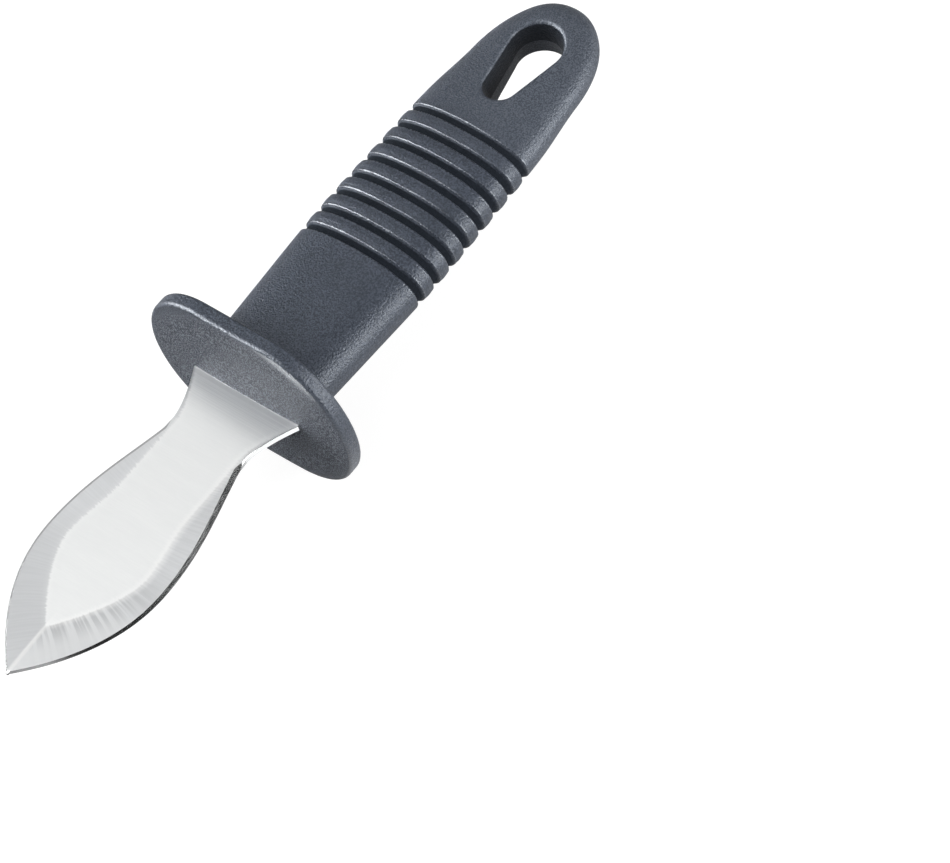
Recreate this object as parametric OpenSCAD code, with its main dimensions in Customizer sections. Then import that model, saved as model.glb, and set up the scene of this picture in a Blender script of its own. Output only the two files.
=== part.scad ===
// Oyster knife: a short leaf-shaped blade whose hidden tang is moulded into a one-piece
// plastic handle with an oval hand guard, grip rings and a hanging hole.
// Millimetres. X runs from the butt to the tip, Y across, Z out of the blade's upper face.
// The shapes are drawn with X = 0 where the blade leaves the guard and Z = 0 in the middle of
// the blade's thickness. The whole knife is then moved, so that the origin is at the bottom
// centre of its box.

/* [Blade] */
// Length of the blade in front of the guard
blade_l = 71; // [66:1:80]
// Thickness of the steel strip, which the tang keeps
strip_t = 1.5; // [1.2:0.1:2]
// How much grinding takes off each face of the blade in front of the guard
ground_off = 0.03; // [0.02:0.01:0.05]
// Half the width where the blade leaves the guard
root_half = 13; // [12:0.5:14]
// Half the width at the neck, its narrowest place
neck_half = 9; // [8:0.5:10]
// Distance from the guard to the neck
neck_x = 11; // [9:1:13]
// Half the width of the leaf at its widest place
belly_half = 14.8; // [13:0.2:16]
// Distance from the guard to the widest place
belly_x = 41.5; // [38:0.5:45]
// Half the width of the flat that the grinding leaves, just past the neck
flat_half = 8.2; // [7:0.2:8.6]
// Distance from the guard to the point where the flat ends in a ridge
ridge_x = 59.5; // [56:0.5:62]
// How far the wide bevels fall below the flat towards the tip
bevel_drop = 0.32; // [0.2:0.02:0.4]
// Distance behind the neck over which they come to that
bevel_run = 60; // [50:1:60]

/* [Tang] */
// Depth of the full-width root inside the guard
shoulder_l = 2.2; // [1.5:0.1:3]
// Width of the tang
tang_w = 14; // [10:1:16]
// Length of the tang behind the guard's front
tang_l = 56; // [45:1:65]
// Diameter of the two holes that the plastic fills
peg_d = 5; // [3:0.5:7]
// Distances of the holes behind the guard's front
peg_s = [20, 42];

/* [Guard] */
// Width of the guard
guard_w = 48.4; // [46:0.2:52]
// Height of the guard
guard_h = 41.4; // [38:0.2:44]
// Length of the straight stretch along the guard's top and bottom
guard_flat = 16; // [8:1:20]
// Thickness of the guard at its rim
guard_t = 3.4; // [2.5:0.1:3.5]
// How far the rim lies behind the middle of the front face
guard_dome = 1.1; // [0.8:0.05:1.6]
// Rounding of the rim
rim_r = 0.7; // [0.5:0.1:1]
// Fillet between guard and grip
fillet_r = 1.2; // [0.8:0.1:2]

/* [Grip] */
// Length of the handle from the guard's front to the butt
handle_l = 106; // [104:1:110]
// Number of grip grooves
grooves = 8; // [4:1:8]
// Distance from the guard's front to the first groove
groove_s = 35.8; // [34:0.2:36]
// Distance from groove to groove
groove_pitch = 4.775; // [4:0.025:4.8]
// Width of a groove at the grip's surface
groove_w = 2.1; // [1.6:0.1:2.4]
// Width of its floor
groove_floor_w = 1.3; // [0.8:0.1:1.4]
// Depth of a groove
groove_depth = 0.65; // [0.4:0.05:0.8]
// How far each rib bulges between its two grooves
rib_crown = 0.1; // [0:0.02:0.2]

/* [Hanging hole] */
// Distance from the guard's front to the large round's centre
hole_far_s = 92.7; // [92:0.1:94]
// Radius of the large round
hole_far_r = 5.2; // [4.5:0.1:5.5]
// Distance from the guard's front to the small round's centre
hole_near_s = 81.3; // [80:0.1:84]
// Radius of the small round
hole_near_r = 3.1; // [2.5:0.1:3.5]

/* [Hidden] */

$fn = 64;
blade_t = strip_t - 2 * ground_off;
ring_points = 40;   // points round the handle, a multiple of 4
leaf_stations = 26; // cross-sections along the leaf
edge_half = 0.06;   // half the thickness of the cutting edge
facet_run = 1.4;    // how far the facet behind it runs for each millimetre that it rises
tip_half = 0.3;     // half the width of the blunt tip
section_n = 2.25;   // roundness of the grip's cross-section, where 2 is an ellipse
butt_round_s = 88;  // where the rounding of the butt starts, seen from above
butt_side_s = 101;  // where it starts, seen from the side
steel = [0.86, 0.87, 0.87];
slate = [0.30, 0.32, 0.35];

// Half the grip's width and half its thickness at a few distances behind the guard's front
grip_half_w = [[0, 13], [20, 13.95], [40, 14.75], [60, 14.5], [75, 14.25], [butt_round_s, 12.9], [handle_l, 12.6]];
grip_half_t = [[0, 6.9], [30, 7.2], [58, 6.95], [84, 5.4], [butt_side_s, 5], [handle_l, 4.9]];

// Smooth curve through a list of points, each [position, value]
function slope(p, i) =
    let (a = max(i - 1, 0), b = min(i + 1, len(p) - 1)) (p[b][1] - p[a][1]) / (p[b][0] - p[a][0]);
function span_at(p, s, i = 0) = i >= len(p) - 2 || s <= p[i + 1][0] ? i : span_at(p, s, i + 1);
function curve(p, s) =
    let (i = span_at(p, s), d = p[i + 1][0] - p[i][0], t = (s - p[i][0]) / d)
    p[i][1] * (1 + 2 * t) * pow(1 - t, 2) + p[i + 1][1] * t * t * (3 - 2 * t)
    + d * (slope(p, i) * t * pow(1 - t, 2) - slope(p, i + 1) * t * t * (1 - t));
function ease(t) = let (c = min(max(t, 0), 1)) c * c * (3 - 2 * c);

// Falls from 1 to 0 as a quarter of an ellipse, between a distance and the butt
function rounding(s, from) = s < from ? 1 : sqrt(max(1 - pow((s - from) / (handle_l - from), 2), 0));

// Closed skin over rings of points, one after the other, with a fan from the middle of each end
function middle(ring) = [for (i = [0 : 2]) ([for (p = ring) 1] * [for (p = ring) p[i]]) / len(ring)];
module skin(rings) {
    n = len(rings[0]);
    last = (len(rings) - 1) * n;
    ends = last + n;
    points = concat([for (r = rings) each r], [middle(rings[0]), middle(rings[len(rings) - 1])]);
    sides = [for (i = [0 : n : last - n], k = [0 : n - 1])
        let (a = i + k, b = i + (k + 1) % n) each [[a, b, b + n], [a, b + n, a + n]]];
    fans = [for (k = [0 : n - 1])
        let (j = (k + 1) % n) each [[ends, j, k], [ends + 1, last + k, last + j]]];
    polyhedron(points, concat(sides, fans), convexity = 6);
}

// Blade

// Half the width of the flare between guard and neck
function flare_half(x) = neck_half + (root_half - neck_half) * pow(1 - x / neck_x, 1.5);

// Half the width of the leaf
function leaf_half(x) = x < belly_x
    ? neck_half + (belly_half - neck_half) * pow(sin(90 * max(x - neck_x, 0) / (belly_x - neck_x)), 1.25)
    : max(belly_half * (1 - pow((x - belly_x) / (blade_l - belly_x), 2.1)), tip_half);

// Half the width of the flat: even at first, then a little wider, then closing to the ridge
function flat_at(x) = x < belly_x
    ? flat_half + 1.7 * ease((x - 27) / (belly_x - 27))
    : (flat_half + 1.7) * max(1 - pow((x - belly_x) / (ridge_x - belly_x), 1.6), 0);

// One cross-section, the same on all four quarters: flat, wide bevel and a narrow facet,
// which takes up what height the bevel leaves above the edge
function leaf_section(x) =
    let (
        grind = ease((x - neck_x) / 3),
        drop = bevel_drop * ease((x - neck_x) / bevel_run),
        w = leaf_half(x),
        half_t = blade_t / 2,
        edge = max(min(facet_run * (half_t - drop - edge_half) * grind, w - tip_half / 2), tip_half / 4),
        flat = max(min(flat_at(x), w - edge - tip_half), tip_half / 4),
        land = half_t - (half_t - edge_half) * grind,
        bevel = min(half_t - drop, land + edge / facet_run),
        top = x > ridge_x ? bevel + drop * w / leaf_half(ridge_x) : half_t,
        side = [[flat, top], [w - edge, bevel], [w, land]])
    concat(
        [for (p = side) [x, p[0], p[1]]],
        [for (i = [2 : -1 : 0]) [x, side[i][0], -side[i][1]]],
        [for (p = side) [x, -p[0], -p[1]]],
        [for (i = [2 : -1 : 0]) [x, -side[i][0], side[i][1]]]);

module leaf() {
    step = (blade_l - neck_x) / (leaf_stations - 1);
    skin([for (i = [0 : leaf_stations - 1]) leaf_section(neck_x + i * step)]);
}

// The flare between guard and neck, at the blade's full thickness
module flare() {
    xs = [for (i = [0 : 10]) neck_x * i / 10];
    translate([0, 0, -blade_t / 2])
        linear_extrude(blade_t)
            polygon(concat(
                [for (x = xs) [x, -flare_half(x)]],
                [for (i = [10 : -1 : 0]) [xs[i], flare_half(xs[i])]]));
}

// The hidden end of the strip: a shoulder in the guard, then the tang with its round end
module tang() {
    half = tang_w / 2;
    difference() {
        translate([0, 0, -strip_t / 2])
            linear_extrude(strip_t)
                union() {
                    translate([-shoulder_l, -root_half])
                        square([shoulder_l, 2 * root_half]);
                    translate([half - tang_l, -half])
                        square([tang_l - half, tang_w]);
                    translate([half - tang_l, 0])
                        circle(half);
                }
        for (s = peg_s)
            translate([-s, 0, -strip_t])
                cylinder(h = 2 * strip_t, d = peg_d);
    }
}

module blade() {
    color(steel)
        to_row()
            union() {
                leaf();
                flare();
                tang();
            }
}

// Handle

function signed_pow(v, e) = sign(v) * pow(abs(v), e);

// The guard is an ellipse pulled apart in the middle, so that its top and bottom are straight.
// The points beside the middle ones are at the ends of the straight stretches.
function guard_ring(s, inset, scale = 1) = [for (k = [0 : ring_points - 1])
    let (
        step = 360 / ring_points,
        a = k * step,
        turn = min((90 - abs(90 - a % 180)) * 90 / (90 - step), 90),
        round_w = (guard_w - guard_flat) / 2 - inset,
        round_h = guard_h / 2 - inset)
    [-s, scale * sign(cos(a)) * (guard_flat / 2 + round_w * cos(turn)), scale * sign(sin(a)) * round_h * sin(turn)]];

// The grip's cross-section at a distance behind the guard's front, drawn in by a depth
function grip_w(s) = curve(grip_half_w, s) * rounding(s, butt_round_s);
function grip_t(s) = curve(grip_half_t, s) * rounding(s, butt_side_s);
function grip_ring(s, inset = 0, at = -1) = [for (k = [0 : ring_points - 1])
    let (a = 360 * k / ring_points, e = 2 / section_n)
    [-(at < 0 ? s : at), (grip_w(s) - inset) * signed_pow(cos(a), e), (grip_t(s) - inset) * signed_pow(sin(a), e)]];

// Outside of guard, grip and butt as one skin, from the front of the guard to the butt
module handle_skin() {
    rear = guard_dome + guard_t;
    rim = [for (a = [0 : 30 : 90]) a];
    last = groove_s + (grooves - 1) * groove_pitch;
    rings = concat(
        [for (r = [0.04, 0.3, 0.55, 0.8]) guard_ring(guard_dome * r * r, 0, r)],
        [for (a = rim) guard_ring(guard_dome + rim_r * (1 - cos(a)), rim_r * (1 - sin(a)))],
        [for (a = rim) guard_ring(rear - rim_r * (1 - sin(a)), rim_r * (1 - cos(a)))],
        [for (a = rim) grip_ring(rear + fillet_r, -fillet_r * (1 - sin(a)), rear + fillet_r * (1 - cos(a)))],
        [for (s = [12, 20, 28]) grip_ring(s)],
        [for (i = [0 : grooves - 1]) let (s = groove_s + i * groove_pitch) each concat(
            i == 0 ? [] : [grip_ring(s - groove_pitch / 2, -rib_crown)],
            [for (side = [-1, 1], k = [0 : 2])
                let (t = side < 0 ? k / 2 : 1 - k / 2)
                grip_ring(s + side * (groove_w * (1 - t) + groove_floor_w * t) / 2, groove_depth * t)])],
        [for (s = [last + 5, 80, 84]) grip_ring(s)],
        [for (a = [0, 15, 30, 43, 55, 66, 76, 84]) grip_ring(butt_round_s + (handle_l - butt_round_s) * sin(a))],
        [grip_ring(handle_l - 0.02)]);
    skin(rings);
}

// The hanging hole: two rounds joined by their common tangents
module hanging_hole() {
    run = hole_far_s - hole_near_s;
    lean = asin((hole_far_r - hole_near_r) / run);
    near = hole_near_r * [sin(lean), cos(lean)];
    far = hole_far_r * [sin(lean), cos(lean)];
    translate([0, 0, -guard_h / 2])
        linear_extrude(guard_h)
            union() {
                translate([-hole_far_s, 0])
                    circle(hole_far_r);
                translate([-hole_near_s, 0])
                    circle(hole_near_r);
                polygon([
                    [-hole_far_s + far[0], far[1]], [-hole_near_s + near[0], near[1]],
                    [-hole_near_s + near[0], -near[1]], [-hole_far_s + far[0], -far[1]]]);
            }
}

module handle() {
    color(slate)
        to_row()
            difference() {
                handle_skin();
                hanging_hole();
                tang();
            }
}

// Moves the knife so that the origin is at the bottom centre of its box
module to_row() {
    translate([(handle_l - blade_l) / 2, 0, guard_h / 2])
        children();
}

blade();
handle();
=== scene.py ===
"""Oyster knife: a brushed leaf blade in a grained plastic handle, on a white table."""

import itertools

import bpy
import numpy as np
from mathutils import Matrix, Vector

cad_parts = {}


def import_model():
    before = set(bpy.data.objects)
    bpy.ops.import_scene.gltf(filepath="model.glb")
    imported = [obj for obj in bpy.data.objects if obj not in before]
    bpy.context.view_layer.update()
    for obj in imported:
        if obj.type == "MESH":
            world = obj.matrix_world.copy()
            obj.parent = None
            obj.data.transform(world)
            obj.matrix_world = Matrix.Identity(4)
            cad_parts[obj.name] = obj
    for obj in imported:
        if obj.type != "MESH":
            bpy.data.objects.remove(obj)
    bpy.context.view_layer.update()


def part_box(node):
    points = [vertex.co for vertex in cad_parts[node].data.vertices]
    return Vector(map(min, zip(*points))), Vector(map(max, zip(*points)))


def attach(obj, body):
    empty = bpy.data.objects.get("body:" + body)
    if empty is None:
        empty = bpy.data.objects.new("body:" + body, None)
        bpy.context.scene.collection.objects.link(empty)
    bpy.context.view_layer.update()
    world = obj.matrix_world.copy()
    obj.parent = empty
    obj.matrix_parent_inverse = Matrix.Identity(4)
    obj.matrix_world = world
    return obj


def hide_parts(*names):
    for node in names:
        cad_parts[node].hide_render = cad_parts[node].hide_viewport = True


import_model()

# Sizes in millimetres. X is 0 where the blade leaves the guard, and S runs back from there.
MM = 0.001
blade_low, blade_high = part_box("blade")
handle_low, handle_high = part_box("handle")
ORIGIN = Vector((handle_high.x, 0, (blade_low.z + blade_high.z) / 2))
BLADE_L = (blade_high.x - ORIGIN.x) / MM
BLADE_T = (blade_high.z - blade_low.z) / MM
BELLY_HALF = (blade_high.y - blade_low.y) / 2 / MM
TANG_L = (ORIGIN.x - blade_low.x) / MM
HANDLE_L = (ORIGIN.x - handle_low.x) / MM
GUARD_W = (handle_high.y - handle_low.y) / MM
GUARD_H = (handle_high.z - handle_low.z) / MM

# Blade
GROUND_OFF = 0.03
ROOT_HALF = 13.0
NECK_HALF = 9.0
NECK_X = 11.0
BELLY_X = 41.5
FLAT_HALF = 8.2
RIDGE_X = 59.5
BEVEL_DROP = 0.32
BEVEL_RUN = 60.0
FACET_RUN = 1.4
EDGE_HALF = 0.06
TIP_HALF = 0.3
SHOULDER_L = 2.2
TANG_HALF = 7.0

# Guard
GUARD_FLAT = 16.0
GUARD_T = 3.4
GUARD_DOME = 1.1
RIM_R = 0.7
FILLET_R = 1.2

# Grip: half the width and half the thickness at a few distances behind the guard's front
BUTT_ROUND_S = 88.0
BUTT_SIDE_S = 101.0
HALF_W = [(0, 13.0), (20, 13.95), (40, 14.75), (60, 14.5), (75, 14.25), (BUTT_ROUND_S, 12.9), (HANDLE_L, 12.6)]
HALF_T = [(0, 6.9), (30, 7.2), (58, 6.95), (84, 5.4), (BUTT_SIDE_S, 5.0), (HANDLE_L, 4.9)]
SECTION_N = 2.25
GROOVES = 8
GROOVE_S = 35.8
GROOVE_PITCH = 4.775
GROOVE_DEPTH = 0.65
GROOVE_FLOOR = 0.62
GROOVE_EDGE = 1.08
RIB_CROWN = 0.10

# Hanging hole, whose walls lean out from the parting line to both faces
HOLE_FAR_S = 92.7
HOLE_FAR_R = 4.95
HOLE_NEAR_S = 81.3
HOLE_NEAR_R = 2.8
HOLE_DRAFT = 0.16
HOLE_RIM = 0.9

# Grid lines of the handle's net along its length: (from, to, spacing), finer over the grooves
GRID_X = [(-HANDLE_L - 1, -72.5, 0.5), (-72.5, -33.0, 0.19), (-33.0, -6.0, 0.6), (-6.0, 1.0, 0.3)]
GRID_YZ = 0.45
GRID_MARGIN = 1

# Tones of the plastic, some with painted light and shade: sheen at the butt, glints on the guard's face, shade in the
# grooves and the hole. A pair goes from the dark grains to the pale ones
GRIP_TONES = (0.031, 0.037, 0.050), (0.060, 0.070, 0.093)
CLOUD_TONE = (0.025, 0.031, 0.040)
BUTT_SHEEN_TONES = (0.046, 0.054, 0.070), (0.105, 0.119, 0.146)
BEHIND_GUARD_TONES = (0.016, 0.020, 0.029), (0.078, 0.090, 0.115)
FACE_GRAIN_GLINT_TONES = (0.005, 0.006, 0.010), (0.170, 0.185, 0.210)
GROOVE_SHADE_TONE = (0.006, 0.008, 0.011)
HOLE_SHADE_TONE = (0.004, 0.005, 0.007)
REFLECTION_TINT = (0.90, 0.95, 1.0, 1)

# Tones of the steel, some with painted light and shade: the guard's reflection at the root, the darker left bevel, the
# paler right bevel at the tip, the highlights along the flat's border and the ridge. A pair goes from the dark streaks
# to the pale ones
FLAT_TONES = (0.735, 0.745, 0.745), (0.760, 0.770, 0.765)
ROOT_GUARD_REFLECTION = (0.58, 0.59, 0.60)
SMEAR_TONE = (0.715, 0.725, 0.725)
BEVEL_TONES = (0.555, 0.565, 0.575), (0.600, 0.610, 0.620)
SCRATCH_TONE = (0.580, 0.590, 0.600)
RIGHT_TIP_HIGHLIGHT = (0.75, 0.76, 0.765)
LEFT_BEVEL_SHADE = (0.47, 0.48, 0.49)
TEETH_TONE = (0.50, 0.51, 0.52)
CREST_HIGHLIGHT_TONE = (0.86, 0.86, 0.85)
EDGE_TONES = (0.70, 0.71, 0.72), (0.82, 0.83, 0.83)

# How much further than modelled the wide bevels seem to fall, for each millimetre past the flat
BEVEL_FALL = 0.085

# What reflections see in the sky: a direction, the cosines of the angles from it where the patch
# begins and where it is full, and a card's strength
FLAG = (-0.08, 0.62, 0.78), 0.73, 0.84
CARDS = [((0.50, -0.80, 0.30), 0.82, 0.95, 22.0), ((-0.35, 0.91, 0.20), 0.86, 0.985, 9.0)]

# Name, direction, distance in metres, width and height in metres, watts
LAMPS = [
    ("key", (0.52, -0.15, 0.80), 1.1, (0.8, 0.8), 6.5),
    ("edge", (0.65, -0.65, 0.36), 1.0, (0.8, 0.3), 2.5),
    ("side", (-0.35, 0.90, 0.25), 0.8, (0.7, 0.35), 5),
]
TABLE_HALF = 3.0

# The camera, in millimetres from the middle of the guard's front. The focal length is in pixels
CAMERA_AT = (273.1, 414.4, 694.5)
CAMERA_TOWARD = (0.3457, 0.4432, 0.8271)
CAMERA_DOWN = (0.7187, 0.4416, -0.5371)
FOCAL_PX = 4500
PICTURE_W_PX = 950
SENSOR_W = 36.0


def curve(points, s):
    """A smooth curve through (position, value) points, as the construction model draws it."""
    at = np.array([p[0] for p in points], float)
    value = np.array([p[1] for p in points], float)
    ends = np.r_[0, np.arange(len(at)), len(at) - 1]
    slope = (value[ends[2:]] - value[ends[:-2]]) / (at[ends[2:]] - at[ends[:-2]])
    i = np.clip(np.searchsorted(at, s) - 1, 0, len(at) - 2)
    step = at[i + 1] - at[i]
    t = np.clip((s - at[i]) / step, 0, 1)
    return (value[i] * (1 + 2 * t) * (1 - t) ** 2 + value[i + 1] * t * t * (3 - 2 * t)
            + step * (slope[i] * t * (1 - t) ** 2 - slope[i + 1] * t * t * (1 - t)))


def ease(t):
    t = np.clip(t, 0, 1)
    return t * t * (3 - 2 * t)


def rounding(s, start):
    """Falls from 1 to 0 as a quarter of an ellipse, between a distance and the butt."""
    t = np.clip((s - start) / (HANDLE_L - start), 0, 1)
    return np.sqrt(1 - t * t)


def join(a, b, radius):
    """Union of two solids with a fillet."""
    return np.maximum(radius, np.minimum(a, b)) - np.hypot(np.maximum(radius - a, 0), np.maximum(radius - b, 0))


def cut(a, b, radius):
    """What two solids share, with the edge between them rounded."""
    return np.minimum(-radius, np.maximum(a, b)) + np.hypot(np.maximum(a + radius, 0), np.maximum(b + radius, 0))


def groove_depth(s):
    """How far the grip is drawn in at a distance, with the ribs between the grooves a little full."""
    turn = (s - GROOVE_S) / GROOVE_PITCH
    nearest = np.clip(np.round(turn), 0, GROOVES - 1)
    off = np.abs(turn - nearest) * GROOVE_PITCH
    depth = GROOVE_DEPTH * (1 - ease((off - GROOVE_FLOOR) / (GROOVE_EDGE - GROOVE_FLOOR)))
    on_ribs = (turn > 0) & (turn < GROOVES - 1)
    return depth - on_ribs * RIB_CROWN * ease((off - GROOVE_EDGE) / (GROOVE_PITCH / 2 - GROOVE_EDGE))


def grip_field(s, y, z):
    tiny = 1e-4
    n = SECTION_N
    half_w = np.maximum(curve(HALF_W, s) * rounding(s, BUTT_ROUND_S), tiny)
    half_t = np.maximum(curve(HALF_T, s) * rounding(s, BUTT_SIDE_S), tiny)
    v, w = np.abs(y) / half_w, np.abs(z) / half_t
    v_part, w_part = v ** (n - 1), w ** (n - 1)
    size = np.maximum(v_part * v + w_part * w, tiny) ** (1 / n)
    slope = np.hypot(v_part / half_w, w_part / half_t) * size ** (1 - n)
    skin = (size - 1) / np.maximum(slope, tiny) + groove_depth(s)
    return np.maximum(skin, 2 - s)


def guard_field(s, y, z):
    v = np.maximum(np.abs(y) - GUARD_FLAT / 2, 0)
    round_w, round_h = (GUARD_W - GUARD_FLAT) / 2, GUARD_H / 2
    size = np.hypot(v / round_w, z / round_h)
    outline = size * (size - 1) / np.maximum(np.hypot(v / round_w ** 2, z / round_h ** 2), 1e-4)
    full = np.hypot(y / (GUARD_W / 2), z / round_h)
    slab = np.maximum(GUARD_DOME * full ** 2 - s, s - GUARD_DOME - GUARD_T)
    return cut(outline, slab, RIM_R)


def hole_field(s, y, z):
    run = HOLE_FAR_S - HOLE_NEAR_S
    lean = (HOLE_FAR_R - HOLE_NEAR_R) / run
    straight = np.sqrt(1 - lean * lean)
    along, side = HOLE_FAR_S - s, np.abs(y)
    past = straight * along - lean * side
    between = straight * side + lean * along - HOLE_FAR_R
    far = np.hypot(side, along) - HOLE_FAR_R
    near = np.hypot(side, along - run) - HOLE_NEAR_R
    outline = np.where(past < 0, far, np.where(past > straight * run, near, between))
    return outline - HOLE_DRAFT * np.abs(z)


def handle_field(x, y, z):
    """About the distance to the handle's skin, below 0 in the plastic."""
    body = join(guard_field(-x, y, z), grip_field(-x, y, z), FILLET_R)
    return cut(body, -hole_field(-x, y, z), HOLE_RIM)


def slope_of(field, points):
    step = 0.02
    return np.stack([
        (field(*(points + side).T) - field(*(points - side).T)) / (2 * step) for side in np.eye(3) * step], 1)


def net_mesh(field, axes):
    """Corners, quads and normals of the surface where a field is 0, netted over a grid."""
    value = field(*[a.astype(np.float32) for a in np.meshgrid(*axes, indexing="ij")])
    inside = value < 0
    shape = np.array(inside.shape) - 1
    count = np.zeros(shape, np.int8)
    for offset in itertools.product((0, 1), repeat=3):
        count += inside[tuple(slice(o, o + n) for o, n in zip(offset, shape))]
    mixed = (count > 0) & (count < 8)
    number = np.full(shape, -1)
    number[mixed] = np.arange(mixed.sum())
    points = np.stack([(a[i] + a[i + 1]) / 2 for a, i in zip(axes, np.nonzero(mixed))], 1)
    quads = []
    for axis in range(3):
        one, two = np.eye(3, dtype=int)[(axis + 1) % 3], np.eye(3, dtype=int)[(axis + 2) % 3]
        first = np.take(inside, range(shape[axis]), axis)
        second = np.take(inside, range(1, shape[axis] + 1), axis)
        edge = np.argwhere(first != second)
        ring = [number[tuple((edge - o).T)] for o in (0 * one, one, one + two, two)]
        quad = np.stack(ring, 1)
        outward = first[tuple(edge.T)]
        quads.append(np.where(outward[:, None], quad, quad[:, ::-1]))
    quads = np.concatenate(quads)
    pairs = np.concatenate([quads[:, [i, (i + 1) % 4]] for i in range(4)])
    pairs = np.unique(np.sort(pairs, 1), axis=0)
    for even_out in (False, True, True, True):
        if even_out:
            total = np.zeros_like(points)
            np.add.at(total, pairs[:, 0], points[pairs[:, 1]])
            np.add.at(total, pairs[:, 1], points[pairs[:, 0]])
            points = 0.4 * points + 0.6 * total / np.bincount(pairs.ravel(), minlength=len(points))[:, None]
        for _ in range(4):
            slope = slope_of(field, points)
            points -= slope * (field(*points.T) / np.maximum((slope ** 2).sum(1), 0.05))[:, None]
    return points, quads, slope_of(field, points)


def make_object(name, points, faces, normals=None):
    """A mesh object from corners in millimetres, with smooth shading where normals are given."""
    mesh = bpy.data.meshes.new(name)
    mesh.from_pydata((np.array(points) * MM + np.array(ORIGIN)).tolist(), [], [list(map(int, f)) for f in faces])
    mesh.validate()
    if normals is not None:
        mesh.polygons.foreach_set("use_smooth", [True] * len(mesh.polygons))
        normals = normals / np.linalg.norm(normals, axis=1)[:, None]
        mesh.normals_split_custom_set_from_vertices(normals.tolist())
    obj = bpy.data.objects.new(name, mesh)
    bpy.context.scene.collection.objects.link(obj)
    return obj


class Nodes:
    """A node tree whose nodes are made by short calls."""

    def __init__(self, tree):
        self.tree = tree

    def node(self, kind, settings=None, **inputs):
        made = self.tree.nodes.new(kind)
        for key, value in (settings or {}).items():
            setattr(made, key, value)
        for key, value in inputs.items():
            self.feed(made, key.replace("_", " "), value)
        return made

    def feed(self, node, socket, value):
        target = node.inputs[int(socket) if socket.isdigit() else socket]
        if hasattr(value, "outputs"):
            value = value.outputs[0]
        if isinstance(value, bpy.types.NodeSocket):
            self.tree.links.new(value, target)
        else:
            target.default_value = value

    def math(self, operation, a, b=0.0):
        made = self.tree.nodes.new("ShaderNodeMath")
        made.operation = operation
        self.feed(made, "0", a)
        self.feed(made, "1", b)
        return made.outputs[0]

    def times(self, first, *others):
        for other in others:
            first = self.math("MULTIPLY", first, other)
        return first

    def plus(self, first, *others):
        for other in others:
            first = self.math("ADD", first, other)
        return first

    def away(self, value, middle=0.0):
        """How far a value is from another one."""
        return self.math("ABSOLUTE", self.math("SUBTRACT", value, middle))

    def ramp(self, value, start, end, low=0.0, high=1.0):
        """low up to start, high from end on, and a smooth step between."""
        made = self.node("ShaderNodeMapRange", {"interpolation_type": "SMOOTHSTEP"})
        sockets = ("Value", "From Min", "From Max", "To Min", "To Max")
        for socket, number in zip(sockets, (value, start, end, low, high)):
            self.feed(made, socket, number)
        return made.outputs[0]

    def mix(self, amount, a, b):
        made = self.node("ShaderNodeMix", {"data_type": "RGBA"}, Factor=amount)
        for socket, colour in ((6, a), (7, b)):
            self.feed(made, str(socket), colour if isinstance(colour, bpy.types.NodeSocket) else tuple(colour) + (1,))
        return made.outputs[2]

    def noise(self, place, scale, detail=2.0, roughness=0.5):
        """Noise between about 0.3 and 0.7. scale is one number, or one for each axis."""
        if not isinstance(scale, (int, float)):
            place = self.node("ShaderNodeMapping", Vector=place, Scale=scale)
            scale = 1.0
        made = self.node("ShaderNodeTexNoise", Vector=place, Scale=float(scale), Detail=detail, Roughness=roughness)
        return made.outputs["Fac"]

    def places(self):
        """Object coordinates in metres. Then millimetres ahead of the guard, to the photo's right, above mid-height."""
        place = self.node("ShaderNodeTexCoord").outputs["Object"]
        moved = self.node("ShaderNodeMapping", Vector=place, Location=tuple(-ORIGIN / MM), Scale=(1 / MM,) * 3)
        return (place, *self.node("ShaderNodeSeparateXYZ", Vector=moved).outputs)

    def bump(self, shader, height):
        """Raises a shader's surface by a height in metres."""
        self.feed(shader, "Normal", self.node("ShaderNodeBump", Height=height, Strength=1.0, Distance=1.0))


def material(name):
    made = bpy.data.materials.new(name)
    made.use_nodes = True
    return made, Nodes(made.node_tree), made.node_tree.nodes["Principled BSDF"]


def groove_masks(n, ahead):
    """Where the grooves are, and the lips of the ribs beside them."""
    turn = n.math("DIVIDE", n.math("SUBTRACT", -GROOVE_S, ahead), GROOVE_PITCH)
    off = n.times(n.math("PINGPONG", turn, 0.5), GROOVE_PITCH)
    in_row = n.math("LESS_THAN", n.away(turn, (GROOVES - 1) / 2), GROOVES / 2 - 0.2)
    groove = n.times(n.ramp(off, GROOVE_EDGE - 0.55, GROOVE_EDGE - 0.15, 1.0, 0.0), in_row)
    rise = n.ramp(off, GROOVE_EDGE - 0.25, GROOVE_EDGE - 0.1)
    fade = n.ramp(off, GROOVE_EDGE, GROOVE_EDGE + 0.3, 1.0, 0.0)
    return groove, n.times(rise, fade, in_row)


def hole_mask(n, ahead, across):
    """Where the hanging hole's walls are: steep surfaces inside a box round the hole."""
    margin, half_w = 1.5, 8.0
    facing = n.node("ShaderNodeSeparateXYZ", Vector=n.node("ShaderNodeNewGeometry").outputs["Normal"])
    steep = n.ramp(n.away(facing.outputs["Z"]), 0.25, 0.6, 1.0, 0.0)
    near_end, far_end = -HOLE_NEAR_S + HOLE_NEAR_R + margin, -HOLE_FAR_S - HOLE_FAR_R - margin
    behind = n.math("LESS_THAN", n.away(ahead, (near_end + far_end) / 2), (near_end - far_end) / 2)
    return n.times(steep, behind, n.math("LESS_THAN", n.away(across), half_w))


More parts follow.
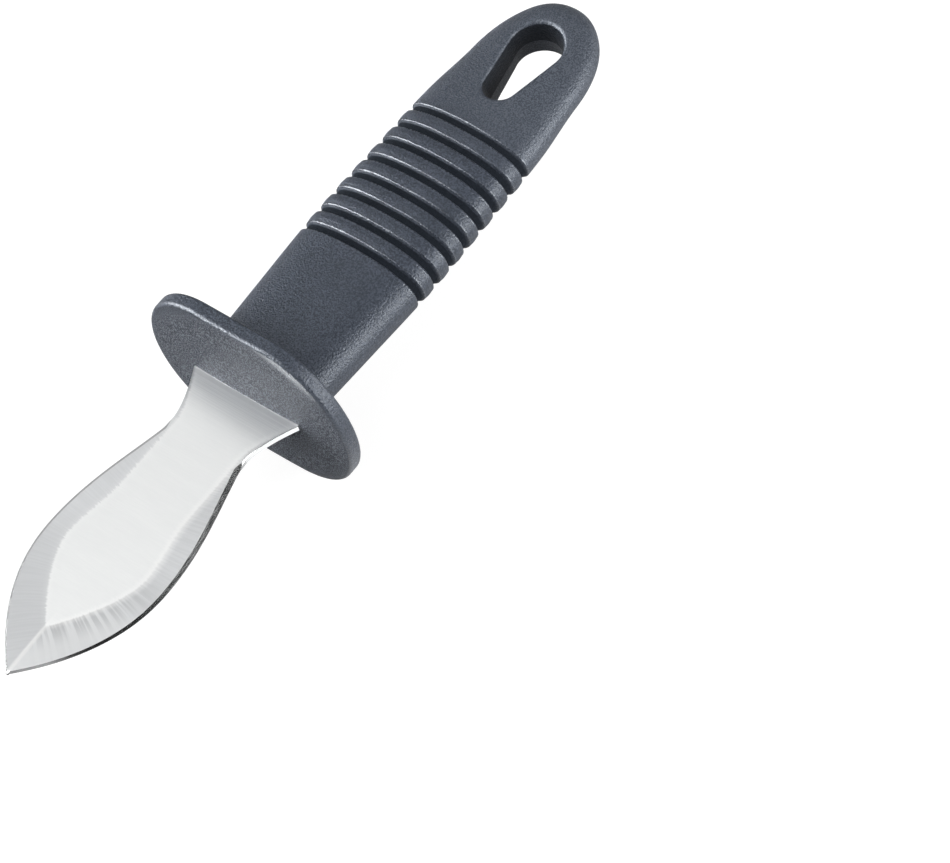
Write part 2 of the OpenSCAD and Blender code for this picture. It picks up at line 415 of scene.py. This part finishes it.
def plastic():
    """Dark slate plastic with a fine spark-eroded grain. Grooves and hole are dull and painted dark as shade, lips
    smooth. The butt is painted paler as sheen, and the guard's face has pale flecks partly painted as glints.
    """
    made, n, shader = material("handle_plastic")
    place, ahead, across, above = n.places()
    grain = n.noise(place, 2500, 1.5)
    coarse = n.noise(place, 1900, 1.0)
    groove, lip = groove_masks(n, ahead)
    in_hole = hole_mask(n, ahead, across)
    # How much painted shade the hole's walls get: more on the upper half, which lies in shade, less on the lower half,
    # lit from below
    upper = n.ramp(above, -0.1, 0.1, 0.3, 0.85)
    on_face = n.ramp(ahead, -1.2, -0.95)
    rim = n.times(n.ramp(ahead, -2.0, -1.7), n.math("SUBTRACT", 1.0, on_face))
    # Painted sheen: the grain turns paler towards the butt, where light falls brighter
    butt_sheen = n.ramp(ahead, -76, -62, 0.75, 0.0)
    behind_guard = n.ramp(ahead, -34, -18, 0.0, 0.5)

    speckle = n.ramp(n.plus(n.times(grain, 0.7), n.times(coarse, 0.3)), 0.42, 0.60)
    fleck = n.ramp(n.noise(place, 3300, 1.0), 0.42, 0.58)
    # Grain flecks on the guard's face, whose pale ones are partly painted glints that lighten the face
    face_glint_fleck = n.ramp(n.noise(place, (1700, 3900, 2600), 1.0), 0.50, 0.56)
    tone = n.mix(speckle, *GRIP_TONES)
    tone = n.mix(n.ramp(n.noise(place, 70, 3.0), 0.3, 0.7, 0.0, 0.3), tone, CLOUD_TONE)
    tone = n.mix(butt_sheen, tone, n.mix(fleck, *BUTT_SHEEN_TONES))
    tone = n.mix(behind_guard, tone, n.mix(fleck, *BEHIND_GUARD_TONES))
    tone = n.mix(n.times(on_face, 0.85), tone, n.mix(face_glint_fleck, *FACE_GRAIN_GLINT_TONES))
    # Painted shade: the grooves are darkened almost to black
    tone = n.mix(n.times(groove, 0.85), tone, GROOVE_SHADE_TONE)
    n.feed(shader, "Base Color", n.mix(n.times(in_hole, upper), tone, HOLE_SHADE_TONE))

    smooth = n.math("MAXIMUM", lip, n.times(rim, 0.4))
    rough = n.ramp(grain, 0.36, 0.60, 0.36, 0.46)
    rough = n.plus(rough, n.times(on_face, 0.3), n.times(groove, 0.5), n.times(smooth, -0.15))
    n.feed(shader, "Roughness", rough)
    shine = n.plus(0.35, n.times(smooth, 0.25), n.times(groove, -0.25), n.times(in_hole, -0.2))
    n.feed(shader, "Specular IOR Level", shine)
    n.feed(shader, "Specular Tint", REFLECTION_TINT)
    parting_line = n.ramp(n.away(above), 0.04, 0.14, 1.0, 0.0)
    n.bump(shader, n.plus(
        n.times(grain, 0.14 * MM), n.times(coarse, 0.04 * MM), n.times(parting_line, 0.04 * MM)))
    return made


def steel_ground():
    """Both broad faces of the blade: a brushed flat, and bevels with marks square to the edge."""
    made, n, shader = material("steel_ground")
    place, ahead, across, _ = n.places()
    grind = n.node("ShaderNodeUVMap", {"uv_map": "grind"}).outputs[0]
    in_grind = n.node("ShaderNodeSeparateXYZ", Vector=grind)
    along_edge, past_flat = in_grind.outputs["X"], in_grind.outputs["Y"]
    streaks = n.noise(place, (6000, 250, 250), 3.0, 0.7)
    lines = n.noise(place, (5000, 35, 35), 2.0, 0.6)
    smears = n.noise(place, (500, 60, 60), 2.0)
    marks = n.noise(grind, (2.0, 0.06, 1), 1.0)
    scratches = n.noise(grind, (7.0, 0.20, 1), 2.0, 0.6)

    jag = n.noise(grind, (1.8, 0.0, 1), 2.0, 0.6)
    past_border = n.plus(past_flat, n.times(n.math("SUBTRACT", jag, 0.5), 1.8))
    bevel = n.ramp(past_border, -0.35, 0.35)
    # Painted highlights: a pale line along the flat's border, stronger on the right, and another along the ridge near
    # the tip
    crest_highlight = n.times(n.ramp(across, -0.5, 0.5, 0.1, 0.4), n.ramp(n.away(past_border), 0.1, 1.5, 1.0, 0.0))
    ridge_highlight = n.times(n.ramp(ahead, 55, 61), n.ramp(n.away(across), 0.1, 0.7, 0.6, 0.0))
    teeth = n.times(
        n.ramp(n.noise(grind, (1.0, 0.03, 1), 1.0), 0.42, 0.56),
        n.ramp(past_flat, 0.5, 7.0, 0.9, 0.1),
        n.ramp(along_edge, 38, 48),
        n.ramp(along_edge, 66, 78, 1.0, 0.0))

    # Painted reflection of the dark guard: the flat darkens near the root, along its brush lines
    guard_reflection_reach = n.ramp(ahead, 0.5, 10, 1.0, 0.0)
    flat_tone = n.mix(n.ramp(streaks, 0.3, 0.7), *FLAT_TONES)
    flat_tone = n.mix(n.times(guard_reflection_reach, n.ramp(lines, 0.35, 0.65, 0.75, 0.2)), flat_tone, ROOT_GUARD_REFLECTION)
    flat_tone = n.mix(n.ramp(smears, 0.35, 0.65, 0.0, 0.3), flat_tone, SMEAR_TONE)
    # Painted highlight: the right bevel turns paler towards the tip
    right_tip_highlight = n.times(n.ramp(ahead, 42, 56), n.ramp(across, -0.3, 0.3), 0.8)
    bevel_tone = n.mix(n.ramp(marks, 0.38, 0.60), *BEVEL_TONES)
    bevel_tone = n.mix(n.ramp(scratches, 0.35, 0.65, 0.0, 0.4), bevel_tone, SCRATCH_TONE)
    bevel_tone = n.mix(right_tip_highlight, bevel_tone, RIGHT_TIP_HIGHLIGHT)
    # Painted shade: the left bevel is darker than the right one
    bevel_tone = n.mix(n.ramp(across, -0.3, 0.3, 0.4, 0.0), bevel_tone, LEFT_BEVEL_SHADE)
    bevel_tone = n.mix(teeth, bevel_tone, TEETH_TONE)
    tone = n.mix(bevel, flat_tone, bevel_tone)
    n.feed(shader, "Base Color", n.mix(n.math("MAXIMUM", crest_highlight, ridge_highlight), tone, CREST_HIGHLIGHT_TONE))
    n.feed(shader, "Metallic", 1.0)
    n.feed(shader, "Roughness", n.ramp(streaks, 0.3, 0.7, 0.29, 0.32))
    n.feed(shader, "Anisotropic", 0.3)
    n.feed(shader, "Tangent", n.node("ShaderNodeTangent", {"direction_type": "UV_MAP", "uv_map": "length"}))
    brushing = n.times(n.math("SUBTRACT", 1.0, bevel), streaks, 0.0015 * MM)
    grinding = n.times(bevel, n.plus(n.times(marks, 0.003 * MM), n.times(scratches, 0.0015 * MM)))
    fall = n.times(n.math("MAXIMUM", past_flat, 0.0), -BEVEL_FALL * MM)
    n.bump(shader, n.plus(brushing, grinding, fall))
    return made


def steel_edge():
    """The narrow facets and the sides, ground along the edge."""
    made, n, shader = material("steel_edge")
    place = n.places()[0]
    lines = n.noise(place, (300, 1200, 5000), 2.0, 0.6)
    n.feed(shader, "Base Color", n.mix(n.ramp(lines, 0.3, 0.7), *EDGE_TONES))
    n.feed(shader, "Metallic", 1.0)
    n.feed(shader, "Roughness", n.ramp(lines, 0.3, 0.7, 0.14, 0.20))
    return made


# Blade

def flare_half(x):
    return NECK_HALF + (ROOT_HALF - NECK_HALF) * (1 - x / NECK_X) ** 1.5


def leaf_half(x):
    if x < BELLY_X:
        return NECK_HALF + (BELLY_HALF - NECK_HALF) * np.sin(np.pi / 2 * (x - NECK_X) / (BELLY_X - NECK_X)) ** 1.25
    return max(BELLY_HALF * (1 - ((x - BELLY_X) / (BLADE_L - BELLY_X)) ** 2.1), TIP_HALF)


def flat_half(x):
    if x < BELLY_X:
        return FLAT_HALF + 1.7 * ease((x - 27) / (BELLY_X - 27))
    return (FLAT_HALF + 1.7) * max(1 - ((x - BELLY_X) / (RIDGE_X - BELLY_X)) ** 1.6, 0)


def half_width(x):
    if x < -SHOULDER_L:
        past_round = max(TANG_HALF - TANG_L - x, 0)
        return np.sqrt(TANG_HALF ** 2 - past_round ** 2)
    if x < 0:
        return ROOT_HALF
    return flare_half(x) if x < NECK_X else leaf_half(x)


def section(x, width):
    """Right upper quarter of a cross-section: inside the flat, its border, wide bevel, narrow facet."""
    half_t = BLADE_T / 2 - (GROUND_OFF if x >= 0 else 0)
    grind = ease((x - NECK_X) / 3)
    drop = BEVEL_DROP * ease((x - NECK_X) / BEVEL_RUN)
    edge = max(min(FACET_RUN * (half_t - drop - EDGE_HALF) * grind, width - TIP_HALF / 2), 0.07)
    if x > NECK_X:
        flat = max(min(flat_half(x), width - edge - TIP_HALF), 0.07)
    else:
        flat = width - 0.4 - 0.4 * ease(x / NECK_X)
    land = half_t - 0.07 * (1 - grind) - (half_t - EDGE_HALF) * grind
    bevel = min(half_t - drop, land + edge / FACET_RUN + 0.07 * (1 - grind))
    top = bevel + drop * width / leaf_half(RIDGE_X) if x > RIDGE_X else half_t
    return [(max(flat - 1.5, flat / 2), top), (flat, top), (width - edge, bevel), (width, land)]


def blade_object():
    xs = [(x, half_width(x)) for x in -TANG_L + TANG_HALF * (1 - np.cos(np.linspace(0.15, np.pi / 2, 12)))]
    xs += [(-SHOULDER_L - 0.001, TANG_HALF), (-SHOULDER_L, ROOT_HALF), (-0.001, ROOT_HALF)]
    xs += [(x, half_width(x)) for x in np.linspace(0, NECK_X, 23)]
    xs += [(x, half_width(x)) for x in np.linspace(NECK_X + 0.25, BLADE_L, 180)]
    edge_line = np.array([(x, half_width(x)) for x in np.linspace(0, BLADE_L, 1500)])
    run = np.r_[0, np.cumsum(np.hypot(*np.diff(edge_line, axis=0).T))]
    points, faces, kinds, grind = [], [], [], []
    for x, width in xs:
        side = section(x, width)
        ring = [(y, z) for y, z in side] + [(y, -z) for y, z in side[::-1]]
        ring += [(-y, -z) for y, z in side] + [(-y, z) for y, z in side[::-1]]
        for y, z in ring:
            points.append((x, y, z))
            nearest = np.argmin(np.hypot(*(edge_line - (x, abs(y))).T))
            border = side[1][0] if x < RIDGE_X else -0.88 * (x - RIDGE_X)
            grind.append((run[nearest] + (300 if y < 0 else 0) + (900 if z < 0 else 0), abs(y) - border))
    n = 16
    for i, k in itertools.product(range(len(xs) - 1), range(n)):
        a, b = i * n + k, i * n + (k + 1) % n
        faces.append((a, b, b + n, a + n))
        kinds.append(1 if k in (2, 3, 4, 10, 11, 12) else 0)
    last = (len(xs) - 1) * n
    faces += [tuple(range(n - 1, -1, -1)), tuple(range(last, last + n))]
    kinds += [1, 1]
    obj = make_object("blade_steel", points, faces)
    for made in (steel_ground(), steel_edge()):
        obj.data.materials.append(made)
    obj.data.polygons.foreach_set("material_index", kinds)
    for name, values in (("grind", grind), ("length", [p[:2] for p in points])):
        layer = obj.data.uv_layers.new(name=name)
        corners = [values[loop.vertex_index] for loop in obj.data.loops]
        layer.uv.foreach_set("vector", np.array(corners, np.float32).ravel())
    return obj


# Stage

def lamp(name, toward, distance, size, power):
    """A soft lamp, size wide and high, that looks at the knife's middle from a direction."""
    light = bpy.data.lights.new(name, "AREA")
    light.shape = "RECTANGLE"
    light.size, light.size_y = size
    light.energy = power
    obj = bpy.data.objects.new(name, light)
    direction = Vector(toward).normalized()
    obj.location = direction * distance
    obj.rotation_euler = direction.to_track_quat("Z", "Y").to_euler()
    bpy.context.scene.collection.objects.link(obj)


def table():
    """A white table with a faint shadow. Reflections see it bright on the photo's right side only."""
    a = TABLE_HALF
    mesh = bpy.data.meshes.new("table")
    mesh.from_pydata([(-a, -a, 0), (a, -a, 0), (a, a, 0), (-a, a, 0)], [], [(0, 1, 2, 3)])
    obj = bpy.data.objects.new("table", mesh)
    bpy.context.scene.collection.objects.link(obj)
    made, n, shader = material("table_white")
    path = n.node("ShaderNodeLightPath").outputs
    seen = n.math("MAXIMUM", path["Is Camera Ray"], path["Is Transmission Ray"])
    at = n.node("ShaderNodeSeparateXYZ", Vector=n.node("ShaderNodeTexCoord").outputs["Object"])
    mirrored = n.ramp(at.outputs["Y"], 14 * MM, 26 * MM, 0.25, 1.3)
    seen = n.math("MAXIMUM", seen, n.times(path["Is Glossy Ray"], mirrored))
    n.feed(shader, "Base Color", (0.25, 0.25, 0.25, 1))
    n.feed(shader, "Roughness", 1.0)
    n.feed(shader, "Specular IOR Level", 0.0)
    n.feed(shader, "Emission Color", (1, 1, 1, 1))
    n.feed(shader, "Emission Strength", n.times(seen, 0.90))
    mesh.materials.append(made)


def world():
    """White to the eye. Reflections see a studio that brightens overhead, a dark flag and two bright cards."""
    made = bpy.data.worlds.new("studio")
    made.use_nodes = True
    bpy.context.scene.world = made
    n = Nodes(made.node_tree)
    direction = n.node("ShaderNodeTexCoord").outputs["Generated"]
    height = n.node("ShaderNodeSeparateXYZ", Vector=direction).outputs["Z"]

    def patch(toward, reach, full, low, high):
        """low away from a direction, high near it; reach and full are cosines of the angles to it."""
        near = n.node("ShaderNodeVectorMath", {"operation": "DOT_PRODUCT"})
        n.feed(near, "0", direction)
        n.feed(near, "1", tuple(Vector(toward).normalized()))
        return n.ramp(near.outputs["Value"], reach, full, low, high)

    sky = n.plus(n.ramp(height, 0.40, 0.86, 0.25, 0.97), n.ramp(height, 0.84, 0.97, 0.0, 0.55))
    mirrored = n.times(sky, patch(*FLAG, 1.0, 0.02))
    for toward, reach, full, power in CARDS:
        mirrored = n.plus(mirrored, patch(toward, reach, full, 0.0, power))
    path = n.node("ShaderNodeLightPath").outputs
    by_eye = n.times(path["Is Glossy Ray"], n.math("LESS_THAN", path["Diffuse Depth"], 0.5))
    strength = n.node("ShaderNodeMapRange", Value=by_eye, To_Min=0.38, To_Max=mirrored)
    seen = n.math("MAXIMUM", path["Is Camera Ray"], path["Is Transmission Ray"])
    strength = n.node("ShaderNodeMapRange", Value=seen, To_Min=strength, To_Max=1.0)
    back = made.node_tree.nodes["Background"]
    n.feed(back, "Color", (1, 1, 1, 1))
    n.feed(back, "Strength", strength)


def camera():
    """The photograph's view: a long lens, above the tip's right, turned so the knife runs up and right."""
    toward = Vector(CAMERA_TOWARD).normalized()
    down = Vector(CAMERA_DOWN)
    down = (down - toward * down.dot(toward)).normalized()
    right = down.cross(-toward)
    data = bpy.data.cameras.new("camera")
    data.sensor_width = SENSOR_W
    data.lens = FOCAL_PX / PICTURE_W_PX * data.sensor_width
    obj = bpy.data.objects.new("camera", data)
    place = ORIGIN + Vector(CAMERA_AT) * MM
    turn = Matrix((right, -down, toward)).transposed().to_4x4()
    obj.matrix_world = Matrix.Translation(place) @ turn
    bpy.context.scene.collection.objects.link(obj)
    bpy.context.scene.camera = obj


camera()
world()
table()
for settings in LAMPS:
    lamp(*settings)

blade = blade_object()
grid_x = np.concatenate([np.arange(start, end - 0.01, step) for start, end, step in GRID_X])
grid_y, grid_z = (
    np.arange(-size / 2 - GRID_MARGIN, size / 2 + GRID_MARGIN, GRID_YZ) for size in (GUARD_W, GUARD_H))
points, quads, normals = net_mesh(handle_field, (grid_x, grid_y, grid_z))
handle = make_object("handle_moulding", points, quads, normals)
handle.data.materials.append(plastic())
for piece, node, slot in ((blade, "blade", "blade_steel"), (handle, "handle", "handle_plastic")):
    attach(piece, "root")
    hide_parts(node)

view = bpy.context.scene.view_settings
view.view_transform = "Standard"
